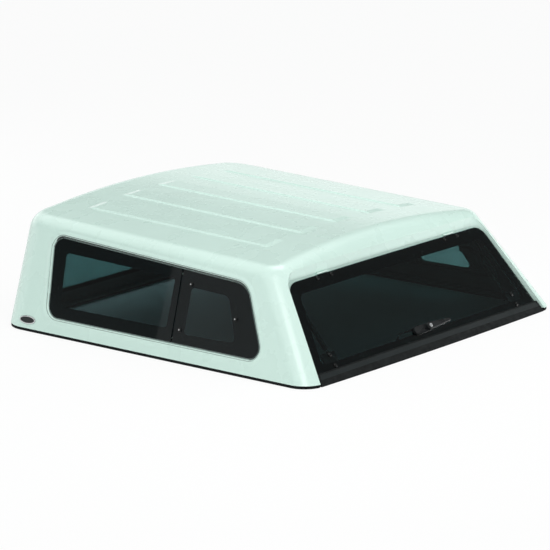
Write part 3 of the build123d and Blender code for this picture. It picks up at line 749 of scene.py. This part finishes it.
class CANOPY_OT_side_windows(CanopyOperator, bpy.types.Operator):
    """Glass, fired borders, gaskets, posts and vent fixings of both sides"""
    bl_idname = "canopy.side_windows"
    bl_label = "Side Windows"

    def execute(self, context):
        dress("pane_glass", *both_sides("front_pane"), *both_sides("vent_pane"))
        dress("rubber", *both_sides("window_gasket"))
        dress("powder_coat", *both_sides("window_post"))
        dress("moulded_plastic", *both_sides("vent_hinges"), *both_sides("vent_latch"))
        for side, word in SIDES:
            for name, edge, edge_radii, clear, clear_radii in BORDERS:
                loops = (on_wall(edge, edge_radii), on_wall(clear, clear_radii))
                self.border(side, word + "_" + name + "_border", loops)
            self.caps(side, word)
            # The glass edge band is painted pale as a highlight along the pane's edge
            self.band(side, word + "_glass_edge", GLASS_EDGE, "ground_edge")
            self.band(side, word + "_window_rim", RIM, "gelcoat")
            # The sealer band's grey is painted shade of the groove round the window
            self.band(side, word + "_window_sealer", SEALER_AND_GROOVE_SHADE, "sealer")
        return {"FINISHED"}

    def band(self, side, name, profile, look):
        """Band round the window along its outline."""
        outline = on_wall(WINDOW, WINDOW_RADII, 12)
        loops = [[(p.x, p.y, height) for p in grown(outline, reach)] for reach, height in profile]
        piece(name, woven(loops), look, ROOT, place=side_matrix(side))

    def border(self, side, name, loops):
        """Flat black band on the inner face of a pane."""
        s = sizes()
        depth = s.pane_depth + s.pane_thickness - BORDER_SINK
        loops = [[(p.x, p.y, -depth) for p in loop] for loop in loops]
        piece(name, woven(loops), "fired_border", ROOT, smooth=False, place=side_matrix(side))

    def caps(self, side, word):
        """Domed caps on the vent fixings, with a bright pin in each."""
        s = sizes()
        places = [frame_at(on_side(side, y, z, s.pane_depth - CAP_STAND), side_matrix(side))
                  for y, z in VENT_CAPS]
        cap = domed_head(radius=s.vent_cap_radius, height=0.0028, rim=0.0016)
        piece(word + "_vent_caps", gathered([(cap, p) for p in places]), "black_bolt", ROOT)
        pin = domed_head(radius=0.0026, height=0.0012, rim=0.0004)
        raised = Matrix.Translation((0, 0, PIN_STAND))
        piece(word + "_vent_pins", gathered([(pin, p @ raised) for p in places]), "polished", ROOT)


class CANOPY_OT_front_window(CanopyOperator, bpy.types.Operator):
    """Glass and rubber of the window behind the cab"""
    bl_idname = "canopy.front_window"
    bl_label = "Front Window"

    def execute(self, context):
        dress("front_glass", "front_window_glass")
        dress("rubber", "front_window_gasket")
        return {"FINISHED"}


# Sections along the rail: height from its upper edge and depth under the rear surface
RAIL_LIP = ((-0.003, 0.0062), (-0.003, 0.0052), (-0.002, 0.0046), (0.0012, 0.0052),
            (0.0026, 0.0080), (0.0022, 0.0136), (0.0002, 0.0136))
RAIL_STRIP = ((-0.0235, 0.0062), (-0.0235, 0.0044), (-0.0250, 0.0036), (-0.0275, 0.0044),
              (-0.0290, 0.0050), (-0.0470, 0.0050), (-0.0485, 0.0062))
RAIL_CAP = ((-0.0005, 0.0052), (-0.0470, 0.0052), (-0.0482, 0.0066), (-0.0390, 0.0172),
            (-0.0005, 0.0186), (0.0008, 0.0172), (0.0008, 0.0066))
# Distance outside the glass's side and inset of the section, from a cap's inner end outward
CAP_STEPS = ((-0.006, 0), (0.0014, 0), (0.0022, 0.0012))
# Points of the rear slope on its right half
HINGE_BOLTS = ((0.4474, -0.0122), (0.3635, -0.0122))
LATCH_BOLTS = ((0.589, -0.306), (0.588, -0.351))
LEAF_SCREWS = ((0.365, -0.008), (0.365, -0.023), (0.445, -0.008), (0.445, -0.023))
# Border of the door glass, its edge and its clear middle: inset of the sides, top down the
# slope, foot over the rail's upper edge, radii
DOOR_BORDER = (
    (0.0006, -0.0006, -0.01, (0.001, 0.061, 0.061, 0.001)),
    (0.046, -0.052, 0.03, (0.02, 0.03, 0.03, 0.02)),
)
# Depths under the rear surface
LEAF_FACE = 0.0229
LATCH_BACK = 0.0221
CAM_BACK = 0.0721
GASKET_DEPTHS = (0.0139, 0.0122)
GASKET_REACH = 0.0012


class CANOPY_OT_rear_door(CanopyOperator, bpy.types.Operator):
    """Door glass with its border, rail, seals, hinges and bolts"""
    bl_idname = "canopy.rear_door"
    bl_label = "Rear Door"

    def execute(self, context):
        s = sizes()
        dress("door_glass", "rear_door_glass")
        dress("rubber", "rear_door_seal", "rear_door_rail_seal")
        dress("powder_coat", "rear_door_rail")
        dress("painted_metal", *both_sides("hinge_fixed_leaf"), *both_sides("hinge_door_leaf"))
        self.border()
        self.along_rail("rail_lip", RAIL_LIP, 0.001)
        self.along_rail("rail_strip", RAIL_STRIP, -0.0004)
        for side, word in SIDES:
            self.rail_cap(side, word)
        bolt = socket_head(s.bolt_radius, s.bolt_height)
        for name, points in (("hinge_bolts", HINGE_BOLTS), ("latch_bolts", LATCH_BOLTS)):
            piece(name, mirrored(bolt, points, s.door_glass_depth), "black_bolt", DOOR)
        screw = screw_head(radius=0.0048, height=0.0014)
        piece("hinge_leaf_screws", mirrored(screw, LEAF_SCREWS, LEAF_FACE), "polished", ROOT)
        back = nut(radius=0.0055, height=0.005, bore=0.0028)
        piece("latch_nuts", mirrored(back, LATCH_BOLTS, LATCH_BACK, INWARD), "zinc_plate", DOOR)
        return {"FINISHED"}

    def border(self):
        """Black band on the inner face of the door glass, bowed with it."""
        s = sizes()
        depth = s.door_glass_depth + s.door_glass_thickness - BORDER_SINK
        loops = []
        for inset, top, rise, radii in DOOR_BORDER:
            foot = s.rail_top + rise
            corners = [(way * (door_reach(y) - inset), y)
                       for way, y in ((-1, foot), (-1, top), (1, top), (1, foot))]
            outline = finer(rounded(corners, radii, 14), 12)
            loops.append([(p.x, p.y, -depth - door_sag(p.x)) for p in outline])
        piece("rear_door_border", woven(loops), "fired_border", DOOR, place=door_matrix())

    def along_rail(self, name, section, end_gap):
        """Bar of one section along the whole rail."""
        top = sizes().rail_top
        columns = 48
        loops = []
        for k in range(columns + 1):
            share = 2 * k / columns - 1
            loops.append([
                on_door((door_reach(top + rise) - end_gap) * share, top + rise, depth)
                for rise, depth in section
            ])
        piece(name, woven(loops, capped=True), "rubber", DOOR)

    def rail_cap(self, side, word):
        """Moulded cap over one end of the rail."""
        top = sizes().rail_top
        loops = []
        for reach, inset in CAP_STEPS:
            loop = []
            for rise, depth in RAIL_CAP:
                y = top + rise + (inset if rise < -0.02 else -inset)
                across = side * (door_reach(y) + reach)
                loop.append(on_door(across, y, depth + (inset if depth < 0.01 else -inset)))
            loops.append(loop)
        piece(word + "_rail_cap", woven(loops, capped=True), "moulded_plastic", DOOR)


class CANOPY_OT_handle(CanopyOperator, bpy.types.Operator):
    """Lever handle, lock, cam and the rods it drives"""
    bl_idname = "canopy.handle"
    bl_label = "Handle"

    def execute(self, context):
        s = sizes()
        dress("moulded_plastic", "handle_base", "handle_lever")
        dress("polished", "lock_barrel")
        dress("black_bolt", "lock_cam")
        dress("powder_coat", *both_sides("lock_rod"))
        place = frame_at(on_door(0, s.handle_y, -s.lock_top), door_matrix())
        collar = ring(inner=0.0071, outer=0.0108, height=0.0016)
        under_face = Matrix.Translation((0, 0, -0.0031))
        piece("lock_collar", gathered([(collar, place @ under_face)]), "moulded_plastic", HANDLE)
        # Black slot painted as the shade in the key opening
        self.keyway(place)
        self.gasket()
        back = frame_at(on_door(0, s.handle_y, CAM_BACK), door_matrix()) @ INWARD
        end = nut(radius=0.0075, height=0.0055, bore=0.004)
        piece("cam_nut", gathered([(end, back)]), "zinc_plate", HANDLE)
        return {"FINISHED"}

    def keyway(self, place):
        """Black slot in the face of the lock, painted shade of the key opening."""
        half_width, half_height, half_depth = 0.0009, 0.0036, 0.0002
        corners = [(-half_width, -half_height), (half_width, -half_height),
                   (half_width, half_height), (-half_width, half_height)]
        outline = rounded(corners, (0.0008,) * 4, 4)
        outline.reverse()
        loops = [[(p.x, p.y, z) for p in outline] for z in (-half_depth, half_depth)]
        piece("keyway", woven(loops, capped=True), "fired_border", HANDLE, place=place)

    def gasket(self):
        """Thin rubber under the handle's base."""
        s = sizes()
        half = s.handle_height / 2 + GASKET_REACH
        steps = 16
        ends = ((s.handle_left - GASKET_REACH + half, pi / 2),
                (s.handle_right + GASKET_REACH - half, -pi / 2))
        outline = []
        for centre, start in ends:
            for k in range(steps + 1):
                a = start + pi * k / steps
                outline.append((centre + half * cos(a), half * sin(a)))
        loops = [[on_door(x, s.handle_y + y, depth) for x, y in outline]
                 for depth in GASKET_DEPTHS]
        verts, faces = woven(loops)
        faces.append(tuple(range(len(outline), 2 * len(outline))))
        piece("handle_gasket", (verts, faces), "rubber", DOOR)


class CANOPY_OT_latches(CanopyOperator, bpy.types.Operator):
    """Brackets on the door glass and the strikers behind the jambs"""
    bl_idname = "canopy.latches"
    bl_label = "Latches"

    def execute(self, context):
        dress("powder_coat", *both_sides("latch_bracket"))
        dress("zinc_plate", *both_sides("striker"))
        return {"FINISHED"}


class CANOPY_OT_struts(CanopyOperator, bpy.types.Operator):
    """Gas struts and their shell brackets"""
    bl_idname = "canopy.struts"
    bl_label = "Gas Struts"

    def execute(self, context):
        dress("powder_coat", *both_sides("strut_tube"), *both_sides("strut_bracket"))
        dress("black_bolt", *both_sides("strut_rod"))
        return {"FINISHED"}


# Section of the oval rim: share of the plate's half length and height over the wall
PLATE_RIM = ((0.90, 0.0019), (0.90, 0.0028), (0.95, 0.0032), (1.0, 0.0026), (1.0, 0.0019))


class CANOPY_OT_plate(CanopyOperator, bpy.types.Operator):
    """Blank oval plate at the front of the left side"""
    bl_idname = "canopy.plate"
    bl_label = "Oval Plate"

    def execute(self, context):
        s = sizes()
        dress("plate_black", "badge_plate")
        long_half, short_half = s.plate_length / 2, s.plate_height / 2
        loops = []
        for a in turns(64):
            loop = []
            for share, height in PLATE_RIM:
                inset = (1 - share) * long_half
                loop.append(((long_half - inset) * cos(a), (short_half - inset) * sin(a), height))
            loops.append(loop)
        place = frame_at(on_side(-1, s.plate_y, s.plate_z, 0), side_matrix(-1))
        piece("plate_rim", woven(loops, joined=True), "polished", ROOT, place=place)
        return {"FINISHED"}


# Place, target and edge length of each lamp
LAMPS = {
    "key": ((-1.9, -2.0, 2.5), (0, 0, 0.2), 1.2),
    "side": ((-3.2, 0.4, 1.6), (0, 0, 0.2), 3.4),
    "crown": ((0.25, -0.1, 2.3), (0.1, 0, 0.4), 0.9),
    "front": ((0.3, 3.6, 1.9), (0, 0.3, 0), 2.4),
    "low": ((2.5, -2.4, 0.55), (0.3, -0.4, 0.2), 1.0),
    "rear": ((0.4, -3.2, 1.2), (0.5, -0.7, 0.15), 1.0),
}
# Upward share of a direction and the light that comes from there
DOME_BANDS = ((0.20, "horizon"), (0.30, "ceiling"), (0.56, "ceiling"), (0.74, "dome"))
DOME_TINT = (0.97, 1.0, 0.99, 1)
FLOOR_HALF = 30
FLOOR_DROP = 0.0005
FLOOR_WHITE = 0.88
SENSOR_WIDTH = 36
VIEW_REACH = 200


class CANOPY_OT_studio(CanopyOperator, bpy.types.Operator):
    """Floor, lamps, light dome and camera"""
    bl_idname = "canopy.studio"
    bl_label = "Studio"

    def execute(self, context):
        context.scene.view_settings.view_transform = "Standard"
        self.floor()
        self.dome()
        for name, (place, target, size) in LAMPS.items():
            self.lamp(name, place, target, size, getattr(studio(), name))
        self.camera()
        return {"FINISHED"}

    def floor(self):
        """Pale floor that keeps the shadow and is nearly plain white to the camera."""
        pale = studio().floor
        f = Finish("floor", pale, 0.8, **{"Specular IOR Level": 0.1})
        f.paint(f.mix(f.noise(1.3, 2), pale, shaded(pale, 1.01)))
        glow = f.add("ShaderNodeEmission", {"Color": (1, 1, 1, 1), "Strength": 1.0})
        path = f.add("ShaderNodeLightPath").outputs
        f.cover(f.math("MULTIPLY", path["Is Camera Ray"], FLOOR_WHITE), glow)
        half = FLOOR_HALF
        mesh = bpy.data.meshes.new("floor")
        mesh.from_pydata([(-half, -half, 0), (half, -half, 0), (half, half, 0), (-half, half, 0)],
                         [], [(0, 1, 2, 3)])
        mesh.materials.append(f.material)
        floor = bpy.data.objects.new("floor", mesh)
        floor.location.z = -FLOOR_DROP
        bpy.context.scene.collection.objects.link(floor)

    def dome(self):
        """Banded light for reflections and plain white behind, also through glass."""
        world = bpy.data.worlds.new("dome")
        bpy.context.scene.world = world
        world.use_nodes = True
        n = Nodes(world.node_tree)
        place = n.add("ShaderNodeTexCoord").outputs["Generated"]
        upward = n.add("ShaderNodeSeparateXYZ", {0: place}).outputs[2]
        ramp = n.add("ShaderNodeValToRGB", {"Fac": upward})
        ramp.color_ramp.interpolation = "EASE"
        stops = ramp.color_ramp.elements
        while len(stops) < len(DOME_BANDS):
            stops.new(0.5)
        for stop, (height, name) in zip(stops, DOME_BANDS):
            light = getattr(studio(), name)
            stop.position = height
            stop.color = (light, light, light, 1)
        path = n.add("ShaderNodeLightPath").outputs
        bounces = n.math("ADD", path["Diffuse Depth"], path["Glossy Depth"])
        direct = n.math("LESS_THAN", bounces, 0.5)
        strength = n.add("ShaderNodeMix", {0: direct, 2: ramp.outputs[0], 3: 1.0}).outputs[0]
        n.put(world.node_tree.nodes["Background"], {"Color": DOME_TINT, "Strength": strength})

    def lamp(self, name, place, target, size, power):
        """Square lamp that shines on a point."""
        data = bpy.data.lights.new(name, "AREA")
        data.shape = "RECTANGLE"
        data.size = data.size_y = size
        data.energy = power
        lamp = bpy.data.objects.new(name, data)
        lamp.location = place
        aim = Vector(target) - Vector(place)
        lamp.rotation_euler = aim.to_track_quat("-Z", "Y").to_euler()
        bpy.context.scene.collection.objects.link(lamp)

    def camera(self):
        """Long lens at a distance from its target."""
        s = studio()
        back = Vector((-sin(s.azimuth) * cos(s.elevation), -cos(s.azimuth) * cos(s.elevation),
                       sin(s.elevation)))
        data = bpy.data.cameras.new("camera")
        data.sensor_width = SENSOR_WIDTH
        data.lens = s.focal
        data.clip_end = VIEW_REACH
        camera = bpy.data.objects.new("camera", data)
        camera.location = Vector(s.target) + back * s.distance
        camera.rotation_euler = (-back).to_track_quat("-Z", "Y").to_euler()
        bpy.context.scene.collection.objects.link(camera)
        bpy.context.scene.camera = camera


PIECES = (
    CANOPY_OT_shell,
    CANOPY_OT_side_windows,
    CANOPY_OT_front_window,
    CANOPY_OT_rear_door,
    CANOPY_OT_handle,
    CANOPY_OT_latches,
    CANOPY_OT_struts,
    CANOPY_OT_plate,
    CANOPY_OT_studio,
)


class CANOPY_PT_panel(bpy.types.Panel):
    """Lists the canopy's pieces and settings"""
    bl_idname = "CANOPY_PT_panel"
    bl_label = "Canopy"
    bl_space_type = "VIEW_3D"
    bl_region_type = "UI"
    bl_category = "Canopy"

    def draw(self, context):
        for kind in PIECES:
            self.layout.operator(kind.bl_idname)
        for group in (sizes(), colours(), studio()):
            box = self.layout.box()
            for name in group.bl_rna.properties.keys():
                if name not in ("rna_type", "name"):
                    box.prop(group, name)


GROUPS = {
    "canopy_sizes": CanopySizes,
    "canopy_colours": CanopyColours,
    "canopy_studio": CanopyStudio,
}
CLASSES = (*GROUPS.values(), *PIECES, CANOPY_PT_panel)


def register():
    for kind in CLASSES:
        bpy.utils.register_class(kind)
    for name, group in GROUPS.items():
        setattr(bpy.types.Scene, name, bpy.props.PointerProperty(type=group))


def unregister():
    for name in GROUPS:
        delattr(bpy.types.Scene, name)
    for kind in reversed(CLASSES):
        bpy.utils.unregister_class(kind)


def main():
    register()
    for kind in PIECES:
        group, name = kind.bl_idname.split(".")
        getattr(getattr(bpy.ops, group), name)()


if __name__ == "__main__":
    main()
